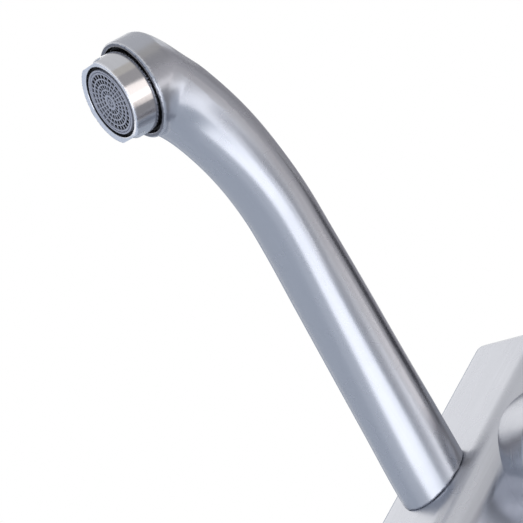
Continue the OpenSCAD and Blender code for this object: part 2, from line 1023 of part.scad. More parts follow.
module lever_handle() {
    color(nickel)
        at_handle()
            difference() {
                union() {
                    difference() {
                        translate([0, 0, hub_front])
                            soft_cylinder(hub_d / 2, hub_out - hub_front, hub_edge);
                        hub_slope_cut();
                    }
                    lever_paddle();
                }
                cylinder_from(hub_d / 2 - hub_wall, hub_front - over, hub_ceiling);
                rotate([-stem_tilt, 0, 0]) {
                    stem_socket();
                    screw_hole();
                }
            }
}

// Slope under the hub, which lets the handle tilt over the dome cover
module hub_slope_cut() {
    angle = atan(hub_slope / hub_d);
    translate([0, hub_d / 2, hub_front])
        rotate([-angle, 0, 0])
            translate([-hub_d, -2 * hub_d, -hub_d])
                cube([2 * hub_d, 3 * hub_d, hub_d]);
}

module lever_paddle() {
    translate([0, 0, hub_out - lever_t])
        rotate([lever_lean, 0, 0])
            translate([0, lever_l / 2 - lever_w / 4, 0])
                soft_block(lever_w, lever_l + lever_w / 2, lever_t, lever_w / 2 - eps,
                    lever_edge);
}

module stem_socket() {
    side = stem_side + 2 * seat_gap;
    translate([-side / 2, -side / 2, 0])
        cube([side, side, stem_l + stem_end_gap]);
}

module screw_hole() {
    translate([0, 0, screw_at])
        rotate([0, -90, 0]) {
            cylinder(d = screw_d + 2 * seat_gap, h = far);
            translate([0, 0, plug_at])
                cylinder(d = plug_d + 2 * seat_gap, h = far);
        }
}

module set_screw() {
    color(steel)
        at_handle()
            rotate([-stem_tilt, 0, 0])
                translate([0, 0, screw_at])
                    rotate([0, -90, 0])
                        difference() {
                            translate([0, 0, stem_side / 2])
                                cylinder(d = screw_d, h = screw_l);
                            translate([0, 0, stem_side / 2 + screw_l - screw_hex_l])
                                cylinder(r = screw_hex_r, h = screw_hex_l + over, $fn = 6);
                        }
}

module index_plug() {
    color(white_plastic)
        at_handle()
            rotate([-stem_tilt, 0, 0])
                translate([0, 0, screw_at])
                    rotate([0, -90, 0])
                        translate([0, 0, plug_at])
                            cylinder(d = plug_d, h = plug_t);
}

column();
spout_arm();
base_flange();
base_gasket();
mounting_stud();
horseshoe_gasket();
horseshoe_plate();
stud_nut();
aerator_housing();
aerator_washer();
aerator_screen();
flow_restrictor();
aerator_mixer();
aerator_insert();
cartridge_base();
inlet_seals();
outlet_seal();
fixed_disc();
moving_disc();
disc_carrier();
rotor();
stem_pin();
lever_stem();
cartridge_housing();
stem_o_ring();
cartridge_nut();
dome_cover();
lever_handle();
set_screw();
index_plug();
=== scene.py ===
"""Basin mixer in brushed nickel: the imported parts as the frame, a spout with soft blends,
procedural finishes and a plain pale studio seen from below the spout."""
import math

import bpy
import numpy as np
from mathutils import Matrix, Vector


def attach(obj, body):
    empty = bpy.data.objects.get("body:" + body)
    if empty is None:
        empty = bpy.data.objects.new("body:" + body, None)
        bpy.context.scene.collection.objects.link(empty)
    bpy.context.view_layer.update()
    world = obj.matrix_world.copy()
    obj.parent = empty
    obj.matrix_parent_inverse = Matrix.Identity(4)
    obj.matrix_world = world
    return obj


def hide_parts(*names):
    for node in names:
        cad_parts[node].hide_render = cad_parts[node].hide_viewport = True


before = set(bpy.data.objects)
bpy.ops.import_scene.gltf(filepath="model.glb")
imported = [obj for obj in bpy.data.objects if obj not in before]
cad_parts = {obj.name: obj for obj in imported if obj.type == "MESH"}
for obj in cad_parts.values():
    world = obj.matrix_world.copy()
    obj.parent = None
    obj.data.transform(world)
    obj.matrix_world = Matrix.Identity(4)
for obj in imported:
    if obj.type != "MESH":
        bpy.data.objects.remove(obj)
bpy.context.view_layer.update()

MM = 0.001

# Photograph: its size, where the centre of the outlet's rim lies in it, and the scale there
PHOTO_SIZE = 523
OUTLET_PIXEL = (131.73, 90.67)
PIXELS_PER_METRE = 3610

# Camera, as seen from the outlet: angles in degrees, and the sensor's width in millimetres
CAMERA_AZIMUTH = 73.69
CAMERA_ELEVATION = -22.77
CAMERA_ROLL = 31.2
CAMERA_DISTANCE = 0.6
CAMERA_NEAR = 0.01
CAMERA_FAR = 50
SENSOR = 36

# Spout arm, as the solids have it: a rising run from the column, then a bend down
ARM_ROOT = np.array(Vector((0, -23, 68)) * MM)
ARM_RISE = math.radians(24.3)
ARM_RUN = 84.5 * MM
ARM_BEND = math.radians(27.8)
ARM_BEND_R = 114 * MM
ARM_T = 14.4 * MM
ARM_HALF_W = 13.5 * MM
ARM_CORNER = 6.5 * MM
SPIGOT_R = 6.25 * MM
SPIGOT_L = 7 * MM
SPIGOT_OVERLAP = 2 * MM
JOINT_CHAMFER = 0.4 * MM
WATERWAY_R = 4 * MM
WATERWAY_UP = 1.2 * MM

# Casting's section at stations along the arm: its top's sag, and its underside's shape
STATIONS = np.array((0, 20, 40, 60, 80, 100, 115, 125, 133, 141, 148, 155)) * MM
TOP_SAG = np.array((0, 0, 0.1, 0.1, 0.3, 0.4, 0.3, 0.5, 0.75, 1.3, 1.1, 0)) * MM
UNDER_TOP = np.array((0.5, 0.5, 0.5, 0.5, 0.5, 1, 2.2, 3, 3, 3, 3, 3)) * MM
UNDER_DEPTH = np.array((11.8, 11.2, 10.3, 9.4, 8.6, 9.6, 12, 13.8, 15.2, 16, 16, 16)) * MM
UNDER_POWER = np.array((2.1, 2.1, 2.25, 2.4, 2.5, 2.55, 2.6, 2.75, 3.1, 3.3, 3.3, 3.3))

# Length that stands for the whole section where a share of it is turned into a distance
UNDER_SCALE = 11 * MM

# Flanks: they lean in below a crease
SIDE_CREASE = -1.5 * MM
SIDE_LEAN = 0.1

# Before the arm's end: where the flanks begin to lean, lean in full and begin to widen
LEAN_FROM = 45 * MM
LEAN_FULL = 15 * MM
WIDEN_FROM = 40 * MM

# Outlet: its cup, and the recess, thread and chamber in it
OUTLET_R = 14.6 * MM
OUTLET_TILT = math.radians(25)
OUTLET_DROP = 8.6 * MM
NOSE_TOP_ROUND = 0.9 * MM
RIM_CHAMFER = 0.45 * MM
RIM_REACH = 1.8 * MM
CUP_FILLET = 0.8 * MM
CUP_FILLET_LEAST = 0.001 * MM
CUP_FILLET_RUN = 6 * MM
RECESS_R = 13.15 * MM
RECESS_DEPTH = 2 * MM
RECESS_CHAMFER = 0.25 * MM
THREAD_R = 11.05 * MM
THREAD_TOP = 6.9 * MM
CHAMBER_R = 8 * MM
CHAMBER_TOP = 8.9 * MM

# Aerator's collar
COLLAR_R = 12.3 * MM
COLLAR_REACH = 8.15 * MM
COLLAR_TOP = 1.9 * MM
COLLAR_EDGE = 0.3 * MM
FLATS_HALF_W = 11.5 * MM
FLATS_H = 3.4 * MM
FLATS_EDGE = 0.2 * MM
LIP_SLOPE = 0.3
LIP_EDGE = 0.15 * MM
COLLAR_THREAD_R = 11 * MM
COLLAR_THREAD_TOP = 5.6 * MM
COLLAR_THREAD_CHAMFER = 0.5 * MM
MOUTH_R = 10.7 * MM
MOUTH_CHAMFER = 0.2 * MM
BORE_R = 9.75 * MM
BORE_TOP = 1.9 * MM

# Spray face: four rings of slots round a boss, and the eye in the boss
INSERT_RECESS = 0.5 * MM
INSERT_T = 2.2 * MM
INSERT_R = 9.7 * MM
INSERT_SLOTS = (30, 28, 24, 16)
INSERT_OUTER_R = 8.4 * MM
INSERT_BOSS_R = 1.95 * MM
EYE_R = 0.75 * MM
EYE_SPOKES = 6
RIB = 0.42 * MM
RIB_EDGE = 0.12 * MM
SPOKE = 0.4 * MM
SPOKE_LOWER = 0.25 * MM
RIM_LINE_R = 9.05 * MM
RIM_LINE_W = 0.28 * MM
RIM_LINE_TOP = 0.9 * MM

# The collar's mouth is wide up to two thirds of the spray face's thickness
MOUTH_TOP = INSERT_RECESS + INSERT_T * 2 / 3

# Handle: its pivot pin, and all else measured from the pin
PIN = np.array((23, 0, 88)) * MM
HUB_R = 21.5 * MM
HUB_OUT = 34 * MM
HUB_FRONT = 14.9 * MM
HUB_BACK_FALL = 4.5 * MM
HUB_SLOPE = math.atan(HUB_BACK_FALL / (2 * HUB_R))
HUB_EDGE = 2.5 * MM
HUB_BACK_EDGE = 0.5 * MM
HUB_CAVITY_R = 18 * MM
HUB_CEILING = 22 * MM
LEVER_R = 11 * MM
LEVER_END = 65 * MM
LEVER_T = 6.5 * MM
LEVER_LEAN = math.radians(6)
LEVER_FILLET = 3 * MM
LEVER_FRONT_EDGE = 2 * MM
LEVER_BACK_EDGE = 1 * MM
STEM_TILT = math.radians(12.5)
SOCKET_HALF = 4.05 * MM
SOCKET_L = 29.3 * MM
SCREW_AT = 26 * MM
SCREW_R = 2.55 * MM
PLUG_R = 3.25 * MM
PLUG_AT = 18.1 * MM

# Grids of the arm and the handle: their lowest and highest corners, and the size of their cells
ARM_BOX = np.array(((-15, -176, 56), (15, -15, 128))) * MM
ARM_CELL = 0.5 * MM
HANDLE_BOX = np.array(((36, -23, 65), (66, 23, 166))) * MM
HANDLE_CELL = 0.6 * MM

# Grid of the collar, measured from the middle of the outlet's rim
COLLAR_BOX = np.array(((-12.6, -17, -16), (12.6, 14, 12))) * MM
COLLAR_CELL = 0.3 * MM

# Grid of the spray face, measured from the middle of the collar's lower end
SPRAY_BOX = np.array(((-11, -11, -11), (11, 11, 11))) * MM
SPRAY_CELL = 0.16 * MM

# Meshing
GRID_PARTS = 24
CROSSING_STEPS = 3
PULL_TO_MIDDLE = 0.02
SLOPE_REACH = 0.01 * MM
SHARP_EDGE = math.radians(35)

# Below this agreement of two normals a vertex lies at an edge
NEAR_EDGE = 0.98

# Faces with a finish of their own, painted shade or a painted highlight: how far they reach, and
# the slack at the bores' walls
RIM_FACE = 0.1 * MM
LIP_FACE = 0.75 * MM
SHADE_FROM = 0.3 * MM
SLOT_LIT = 0.4 * MM
SLACK = 0.05 * MM

# Finishes: the nickel's colour, and the depth and fineness of the relief
NICKEL = (0.49, 0.50, 0.54)
LINE_DEPTH = 0.02 * MM
SKIN_DEPTH = 0.01 * MM
SKIN_SCALE = 900

# Stage: the cards' middles and points, the world's strength and the floor
SPOUT_MIDDLE = Vector((0, -0.09, 0.09))
NOSE_SIDE = Vector((0.014, -0.125, 0.1))
CARD_POINTS = 9
WORLD_LIGHT = 0.68
WORLD_SEEN = 1
FLOOR_Z = -0.36
FLOOR_HALF = 4
FLOOR_COLOUR = (0.76, 0.84, 0.97, 1)
FLOOR_ROUGHNESS = 0.7


def arm_direction(angle):
    """Direction of the arm where it has bent down by this angle."""
    rise = ARM_RISE - angle
    return np.array((0, -math.cos(rise), math.sin(rise)))


def arm_normal(angle):
    """Direction out of the arm's top where it has bent down by this angle."""
    rise = ARM_RISE - angle
    return np.array((0, math.sin(rise), math.cos(rise)))


BEND_CENTRE = ARM_ROOT + arm_direction(0) * ARM_RUN - arm_normal(0) * ARM_BEND_R
TIP = BEND_CENTRE + arm_normal(ARM_BEND) * ARM_BEND_R
ARM_END = ARM_RUN + ARM_BEND_R * ARM_BEND
OUTLET_UP = np.array((0, math.sin(OUTLET_TILT), math.cos(OUTLET_TILT)))
OUTLET_BACK = np.array((0, math.cos(OUTLET_TILT), -math.sin(OUTLET_TILT)))
OUTLET_RING = TIP - OUTLET_UP * OUTLET_DROP


def along_arm(points):
    """Distance of points along the arm from its root, and height over its centreline."""
    straight = points - ARM_ROOT
    straight_run, straight_lift = straight @ arm_direction(0), straight @ arm_normal(0)
    out = points - BEND_CENTRE
    ahead, above = out @ arm_direction(0), out @ arm_normal(0)
    bent = straight_run > ARM_RUN
    run = np.where(bent, ARM_RUN + ARM_BEND_R * np.arctan2(ahead, above), straight_run)
    lift = np.where(bent, np.hypot(ahead, above) - ARM_BEND_R, straight_lift)
    return run, lift


def outlet_place(points):
    """Distance of points across, height over the outlet's rim, distance back from its axis
    and distance from that axis."""
    ring = points - OUTLET_RING
    high, back = ring @ OUTLET_UP, ring @ OUTLET_BACK
    return points[:, 0], high, back, np.hypot(points[:, 0], back)


def smooth_step(x, low, high):
    """0 below low, 1 above high, and a smooth rise between."""
    t = np.clip((x - low) / (high - low), 0, 1)
    return t * t * (3 - 2 * t)


def smooth_curve(x, stations, values):
    """Smooth curve through values at stations, level beyond both ends."""
    slopes = np.gradient(values, stations)
    slopes[0] = slopes[-1] = 0
    x = np.clip(x, stations[0], stations[-1])
    k = np.clip(np.searchsorted(stations, x) - 1, 0, len(stations) - 2)
    span = stations[k + 1] - stations[k]
    t = (x - stations[k]) / span
    near = values[k] * (1 + 2 * t) + slopes[k] * span * t
    away = values[k + 1] * (3 - 2 * t) + slopes[k + 1] * span * (t - 1)
    return near * (1 - t) ** 2 + away * t * t


def round_and(a, b, r):
    """Where both shapes are, with the edge between them rounded by r."""
    inner = np.minimum(np.maximum(a + r, b + r), 0)
    return np.hypot(np.maximum(a + r, 0), np.maximum(b + r, 0)) + inner - r


def round_or(a, b, r):
    """Where either shape is, with the corner between them filled by r."""
    outer = np.maximum(np.minimum(a - r, b - r), 0)
    return outer - np.hypot(np.maximum(r - a, 0), np.maximum(r - b, 0)) + r


def slant(a, b):
    """Face at 45 degrees to two others, where their distances add up to nothing."""
    return (a + b) * math.sqrt(0.5)


def chamfer_and(a, b, width):
    """Where both shapes are, with the edge between them chamfered."""
    return np.maximum(np.maximum(a, b), slant(a, b + width))


def arm_section(x, back, radius, run, lift):
    """Arm and nose without the outlet's cup, how high their top lies over the centreline and
    how much its edge is rounded."""
    widen = smooth_step(run, ARM_END - WIDEN_FROM, ARM_END)
    half_w = ARM_HALF_W + (OUTLET_R - ARM_HALF_W) * widen
    plan = np.where(back < 0, radius - OUTLET_R, x - half_w)
    to_side = smooth_step(back, -OUTLET_R, 0)
    corner = NOSE_TOP_ROUND + (ARM_CORNER - NOSE_TOP_ROUND) * to_side
    top = ARM_T / 2 - smooth_curve(run, STATIONS, TOP_SAG)
    upper = round_and(lift - top, plan, corner)

    wide = np.where(back < 0, plan + OUTLET_R, x) / np.where(back < 0, OUTLET_R, half_w)
    lean = SIDE_LEAN * smooth_step(run, ARM_END - LEAN_FROM, ARM_END - LEAN_FULL)
    wide = wide * (1 + lean * np.maximum(SIDE_CREASE - lift, 0) / OUTLET_R)
    below = np.maximum(smooth_curve(run, STATIONS, UNDER_TOP) - lift, 0)
    deep = below / smooth_curve(run, STATIONS, UNDER_DEPTH)
    power = smooth_curve(run, STATIONS, UNDER_POWER)
    share = (np.maximum(wide, 1e-9) ** power + deep ** power) ** (1 / power)
    lower = (share - 1) * UNDER_SCALE
    return np.maximum(upper, lower), top, corner


def arm_field(points):
    """Signed distance to the spout arm with its outlet, passages and spigot."""
    x, high, back, radius = outlet_place(points)
    x = np.abs(x)
    run, lift = along_arm(points)
    body, top, corner = arm_section(x, back, radius, run, lift)
    body = chamfer_and(body, points[:, 1] - ARM_ROOT[1], JOINT_CHAMFER)

    wall = radius - OUTLET_R
    cup = round_and(wall, lift - top, corner)
    fillet = CUP_FILLET_LEAST + CUP_FILLET * smooth_step(back, 0, CUP_FILLET_RUN)
    body = np.maximum(round_or(body, cup, fillet), -high)
    rim = np.where(high < RIM_REACH, slant(wall, RIM_CHAMFER - high), body)
    body = np.maximum(body, rim)

    across = np.hypot(x, lift)
    spigot = np.maximum(across - SPIGOT_R, np.maximum(-run - SPIGOT_L, run - SPIGOT_OVERLAP))
    body = np.minimum(body, spigot)

    inside = np.maximum(np.hypot(x, lift - WATERWAY_UP) - WATERWAY_R, run - ARM_END)
    bores = ((RECESS_R, RECESS_DEPTH), (THREAD_R, THREAD_TOP), (CHAMBER_R, CHAMBER_TOP))
    for bore_r, ceiling in bores:
        inside = np.minimum(inside, np.maximum(radius - bore_r, high - ceiling))
    entry = slant(radius - RECESS_R, high - RECESS_CHAMFER)
    inside = np.minimum(inside, np.maximum(entry, high - RECESS_DEPTH))
    return np.maximum(body, -inside)


def housing_field(points):
    """Signed distance to the aerator's housing: collar with two flats, thread and bore."""
    _, high, back, radius = outlet_place(points)
    over_end = high + COLLAR_REACH
    middle, half = (COLLAR_TOP - COLLAR_REACH) / 2, (COLLAR_TOP + COLLAR_REACH) / 2
    collar = round_and(radius - COLLAR_R, np.abs(high - middle) - half, COLLAR_EDGE)
    beyond_flats = round_and(FLATS_HALF_W - np.abs(back), over_end - FLATS_H, FLATS_EDGE)
    collar = np.maximum(collar, -beyond_flats)
    lip = (LIP_SLOPE * (COLLAR_R - radius) - over_end) / math.hypot(1, LIP_SLOPE)
    collar = round_and(collar, lip, LIP_EDGE)

    thread = high - COLLAR_THREAD_TOP
    thread = chamfer_and(radius - COLLAR_THREAD_R, thread, COLLAR_THREAD_CHAMFER)
    body = np.minimum(collar, np.maximum(thread, -high))

    mouth = np.maximum(radius - MOUTH_R, over_end - MOUTH_TOP)
    mouth = np.minimum(mouth, slant(radius - MOUTH_R, over_end - MOUTH_CHAMFER))
    bore = np.maximum(radius - BORE_R, high - BORE_TOP)
    bore = np.minimum(bore, radius - CHAMBER_R)
    return np.maximum(body, -np.minimum(mouth, bore))


def ring_field(radius, middle_r):
    """Signed distance to a rib that runs in a circle."""
    return np.abs(radius - middle_r) - RIB / 2


def spoke_field(turn, radius, count, width, inner, outer):
    """Signed distance to a number of spokes between two circles."""
    half_pitch = math.pi / count
    from_spoke = half_pitch - np.abs(turn % (2 * half_pitch) - half_pitch)
    between = np.maximum(inner - radius, radius - outer)
    return np.maximum(from_spoke * radius - width / 2, between)


def insert_field(points):
    """Signed distance to the spray face: round ribs and spokes between the slots."""
    x, high, back, radius = outlet_place(points)
    turn = np.arctan2(back, x)
    rim_line = np.abs(radius - RIM_LINE_R) - RIM_LINE_W / 2
    rim_line = np.maximum(rim_line, high + COLLAR_REACH - RIM_LINE_TOP)
    rings = np.maximum(radius - INSERT_R, INSERT_OUTER_R - radius)
    rings = np.maximum(rings, -rim_line)
    rings = np.minimum(rings, ring_field(radius, INSERT_BOSS_R - RIB / 2))
    rings = np.minimum(rings, ring_field(radius, EYE_R))
    spokes = spoke_field(turn, radius, EYE_SPOKES, RIB, EYE_R, INSERT_BOSS_R)
    pitch = (INSERT_OUTER_R - INSERT_BOSS_R) / len(INSERT_SLOTS)
    for k, slots in enumerate(INSERT_SLOTS):
        inner = INSERT_OUTER_R - (k + 1) * pitch
        rings = np.minimum(rings, ring_field(radius, inner + RIB / 2))
        slot_spokes = spoke_field(turn, radius, slots, SPOKE, inner, inner + pitch)
        spokes = np.minimum(spokes, slot_spokes)
    low = INSERT_RECESS - COLLAR_REACH
    top = high - low - INSERT_T
    rings = round_and(rings, np.maximum(top, low - high), RIB_EDGE)
    spokes = round_and(spokes, np.maximum(top, low + SPOKE_LOWER - high), RIB_EDGE)
    return np.minimum(rings, spokes)


def handle_field(points):
    """Signed distance to the handle: hollow hub, lever, stem socket and screw hole."""
    out, side, up = (points - PIN).T
    hub_r = np.hypot(side, up)
    back = (HUB_FRONT - out) * math.cos(HUB_SLOPE) + (HUB_R - up) * math.sin(HUB_SLOPE)
    hub = round_and(hub_r - HUB_R, out - HUB_OUT, HUB_EDGE)
    hub = round_and(hub, back, HUB_BACK_EDGE)

    proud = out - HUB_OUT + LEVER_T
    along = up * math.cos(LEVER_LEAN) + proud * math.sin(LEVER_LEAN)
    thick = proud * math.cos(LEVER_LEAN) - up * math.sin(LEVER_LEAN)
    plan = np.hypot(side, along - np.clip(along, 0, LEVER_END)) - LEVER_R
    lever = round_and(plan, thick - LEVER_T, LEVER_FRONT_EDGE)
    lever = np.maximum(lever, round_and(plan, -thick, LEVER_BACK_EDGE))
    body = round_or(hub, lever, LEVER_FILLET)

    cavity = np.maximum(hub_r - HUB_CAVITY_R, out - HUB_CEILING)
    across = up * math.cos(STEM_TILT) - out * math.sin(STEM_TILT)
    depth = up * math.sin(STEM_TILT) + out * math.cos(STEM_TILT)
    socket = np.maximum(np.maximum(np.abs(side), np.abs(across)) - SOCKET_HALF,
                        np.maximum(depth - SOCKET_L, -depth))
    from_screw = np.hypot(across, depth - SCREW_AT)
    screw = np.maximum(from_screw - SCREW_R, side)
    plug = np.maximum(from_screw - PLUG_R, side + PLUG_AT)
    inside = np.minimum(np.minimum(cavity, socket), np.minimum(screw, plug))
    return np.maximum(body, -inside)


def gradient(field, points):
    """Unit slope of a field at each point."""
    slope = np.empty_like(points)
    for k in range(3):
        step = np.zeros(3)
        step[k] = SLOPE_REACH
        slope[:, k] = field(points + step) - field(points - step)
    return slope / np.maximum(np.linalg.norm(slope, axis=1), 1e-12)[:, None]


def crossings(field, values, corner, step, k):
    """Where the grid's edges along one axis cross a field's zero surface: the four cells
    round each edge, in an order that faces outwards, and the place on it."""
    inside = values < 0
    lower = tuple(slice(None, -1) if axis == k else slice(None) for axis in range(3))
    upper = tuple(slice(1, None) if axis == k else slice(None) for axis in range(3))
    at = np.argwhere(inside[lower] != inside[upper])
    a, b = values[lower][tuple(at.T)], values[upper][tuple(at.T)]
    start, along = corner + at * step, np.eye(3)[k] * step
    t = a / (a - b)
    for _ in range(CROSSING_STEPS):
        t = np.clip(t - field(start + t[:, None] * along) / (b - a), 0, 1)
    i, j = np.eye(3, dtype=int)[(k + 1) % 3], np.eye(3, dtype=int)[(k + 2) % 3]
    around = np.stack([at - i - j, at - j, at, at - i], 1)
    around[a > 0] = around[a > 0][:, ::-1]
    return around, start + t[:, None] * along


def contour(field, low, high, step):
    """Vertices and quads of a field's zero surface, true to its sharp edges too: each grid
    cell that the surface crosses gets the point that best fits the planes crossing it."""
    axes = [np.arange(a - 2 * step, b + 3 * step, step) for a, b in zip(low, high)]
    size = np.array([len(axis) for axis in axes])
    corner = np.array([axis[0] for axis in axes])
    grid = np.stack(np.meshgrid(*axes, indexing="ij"), -1).reshape(-1, 3)
    values = [field(part) for part in np.array_split(grid, GRID_PARTS)]
    values = np.concatenate(values).reshape(size)
    found = [crossings(field, values, corner, step, k) for k in range(3)]
    cells, places = (np.concatenate(parts) for parts in zip(*found))
    normals = gradient(field, places)

    keys = np.ravel_multi_index(cells.reshape(-1, 3).T, size)
    used, owner = np.unique(keys, return_inverse=True)
    count = np.bincount(owner).astype(float)

    def total(weights):
        """Sum of the crossings' weights round each cell."""
        return np.bincount(owner, np.repeat(weights, 4), len(used))

    # Least squares for each cell, pulled a little to the middle of its crossings
    middle = np.stack([total(places[:, k]) for k in range(3)], 1) / count[:, None]
    matrix = np.zeros((len(used), 3, 3))
    target = np.zeros((len(used), 3))
    height = np.sum(normals * places, 1)
    for r in range(3):
        target[:, r] = total(normals[:, r] * height)
        for c in range(3):
            matrix[:, r, c] = total(normals[:, r] * normals[:, c])
            target[:, r] -= matrix[:, r, c] * middle[:, c]
        matrix[:, r, r] += PULL_TO_MIDDLE * count
    shift = np.linalg.solve(matrix, target[:, :, None])[:, :, 0]
    vertices = middle + np.clip(shift, -step, step)
    return vertices, owner.reshape(-1, 4)


def solid_from(name, field, box, step):
    """Mesh object of a field's zero surface inside a box. Away from its edges it is shaded
    by the field's own slope."""
    vertices, quads = contour(field, box[0], box[1], step)
    mesh = bpy.data.meshes.new(name)
    mesh.from_pydata(vertices.tolist(), [], quads.tolist())
    mesh.validate()
    mesh.update()
    mesh.polygons.foreach_set("use_smooth", [True] * len(mesh.polygons))
    mesh.set_sharp_from_angle(angle=SHARP_EDGE)
    facing = np.empty(len(vertices) * 3)
    mesh.vertices.foreach_get("normal", facing)
    exact = gradient(field, vertices)
    exact[np.sum(exact * facing.reshape(-1, 3), axis=1) < NEAR_EDGE] = 0
    mesh.normals_split_custom_set_from_vertices(exact.tolist())
    obj = bpy.data.objects.new(name, mesh)
    bpy.context.scene.collection.objects.link(obj)
    return obj


def grain_vectors(obj, flow):
    """Stores a vector at each vertex whose first part runs along the brushed grain."""
    mesh = obj.data
    places = np.empty(len(mesh.vertices) * 3)
    mesh.vertices.foreach_get("co", places)
    stored = mesh.attributes.new("grain", "FLOAT_VECTOR", "POINT")
    stored.data.foreach_set("vector", flow(places.reshape(-1, 3)).astype(np.float32).ravel())


def arm_grain(points):
    """The arm is brushed along its length."""
    run, lift = along_arm(points)
    return np.stack([run, points[:, 0], lift], 1)


def collar_grain(points):
    """The collar is brushed on a lathe."""
    x, high, back, radius = outlet_place(points)
    return np.stack([COLLAR_R * np.arctan2(back, x), high, radius], 1)


def handle_grain(points):
    """The handle is brushed along its lever."""
    return points[:, ::-1]


class Finish:
    """A new material with its shader, and short ways to add nodes to it."""

    def __init__(self, name):
        self.material = bpy.data.materials.new(name)
        self.material.use_nodes = True
        self.nodes = self.material.node_tree.nodes
        self.link = self.material.node_tree.links.new
        self.shader = self.nodes["Principled BSDF"]

    def even(self, socket, value):
        """Sets what is the same all over the surface."""
        self.shader.inputs[socket].default_value = value

    def add(self, kind, **settings):
        """New node. A setting with a capital is one of its sockets, any other a property."""
        node = self.nodes.new(kind)
        for key, value in settings.items():
            if key[0].isupper():
                node.inputs[key].default_value = value
            else:
                setattr(node, key, value)
        return node

    def position(self):
        """Place on the object."""
        return self.add("ShaderNodeTexCoord").outputs["Object"]

    def noise(self, source, scale, detail, roughness):
        """Cloudy pattern over some coordinates."""
        node = self.add("ShaderNodeTexNoise", Scale=scale, Detail=detail, Roughness=roughness)
        self.link(source, node.inputs["Vector"])
        return node.outputs["Fac"]

    def between(self, pattern, low, high):
        """Value that follows a pattern from low to high."""
        node = self.add("ShaderNodeMapRange")
        node.inputs["To Min"].default_value = low
        node.inputs["To Max"].default_value = high
        self.link(pattern, node.inputs["Value"])
        return node.outputs[0]

    def tint(self, colour, pattern, spread):
        """Colour, a little darker and lighter after a pattern."""
        shade = self.add("ShaderNodeVectorMath", operation="SCALE")
        if isinstance(colour, tuple):
            shade.inputs[0].default_value = colour
        else:
            self.link(colour, shade.inputs[0])
        self.link(self.between(pattern, 1 - spread, 1 + spread), shade.inputs["Scale"])
        self.link(shade.outputs[0], self.shader.inputs["Base Color"])

    def gloss(self, roughness, pattern, spread):
        """Roughness, a little lower and higher after a pattern."""
        uneven = self.between(pattern, roughness - spread, roughness + spread)
        self.link(uneven, self.shader.inputs["Roughness"])

    def relief(self, pattern, strength, depth):
        """Fine relief after a pattern."""
        bump = self.add("ShaderNodeBump", Strength=strength, Distance=depth)
        self.link(pattern, bump.inputs["Height"])
        self.link(bump.outputs[0], self.shader.inputs["Normal"])


def brushed(name, colour, roughness, coordinates, scales, spread=0.06):
    """Brushed metal: lines along the grain, a little darker and rougher in places. The scales
    are how finely the lines change along each of the three coordinates."""
    finish = Finish(name)
    finish.even("Metallic", 1)
    if coordinates == "grain":
        source = finish.add("ShaderNodeAttribute", attribute_name="grain").outputs["Vector"]
    else:
        source = finish.position()
    stretch = finish.add("ShaderNodeVectorMath", operation="MULTIPLY")
    stretch.inputs[1].default_value = scales
    finish.link(source, stretch.inputs[0])
    lines = finish.noise(stretch.outputs[0], scale=1, detail=4, roughness=0.7)
    cloud = finish.noise(source, scale=60, detail=3, roughness=0.6)
    finish.tint(colour, lines, spread)
    finish.gloss(roughness, cloud, spread=0.05)
    finish.relief(lines, strength=0.25, depth=LINE_DEPTH)
    return finish.material


def moulded(name, colour, roughness):
    """Moulded plastic, rubber or ceramic with a fine uneven skin."""
    finish = Finish(name)
    source = finish.position()
    skin = finish.noise(source, scale=SKIN_SCALE, detail=3, roughness=0.6)
    cloud = finish.noise(source, scale=90, detail=2, roughness=0.5)
    finish.tint(colour, cloud, spread=0.08)
    finish.gloss(roughness, cloud, spread=0.06)
    finish.relief(skin, strength=0.3, depth=SKIN_DEPTH)
    return finish.material


def wear(obj, material):
    """Gives an object this material alone."""
    obj.data.materials.clear()
    obj.data.materials.append(material)


def refinish(obj, material, where):
    """Gives some faces a finish of their own, by their height over the outlet's rim and
    their distance from its axis."""
    obj.data.materials.append(material)
    faces = obj.data.polygons
    middles = np.empty(len(faces) * 3)
    faces.foreach_get("center", middles)
    _, high, _, radius = outlet_place(middles.reshape(-1, 3))
    finish = np.empty(len(faces), np.int32)
    faces.foreach_get("material_index", finish)
    finish[where(high, radius)] = len(obj.data.materials) - 1
    faces.foreach_set("material_index", finish)


def paint_shade(obj, inner):
    """Paints shade on the inner faces, where no light reaches, with a near-black finish."""
    refinish(obj, moulded("dark_" + obj.name, (0.012, 0.012, 0.014), 0.6), inner)


def hot_and_cold(obj):
    """Index mark: a red half on the left and a blue half on the right."""
    finish = Finish("index_mark")
    position = finish.position()
    parts = finish.add("ShaderNodeSeparateXYZ")
    finish.link(position, parts.inputs[0])
    right = finish.add("ShaderNodeMath", operation="GREATER_THAN")
    right.inputs[1].default_value = sum(corner[0] for corner in obj.bound_box) / 8
    finish.link(parts.outputs["X"], right.inputs[0])
    halves = finish.add("ShaderNodeMix", data_type="RGBA")
    halves.inputs["A"].default_value = (0.55, 0.03, 0.03, 1)
    halves.inputs["B"].default_value = (0.02, 0.10, 0.45, 1)
    finish.link(right.outputs[0], halves.inputs["Factor"])
    cloud = finish.noise(position, scale=700, detail=2, roughness=0.5)
    finish.tint(halves.outputs["Result"], cloud, spread=0.15)
    finish.gloss(0.3, cloud, spread=0.06)
    wear(obj, finish.material)


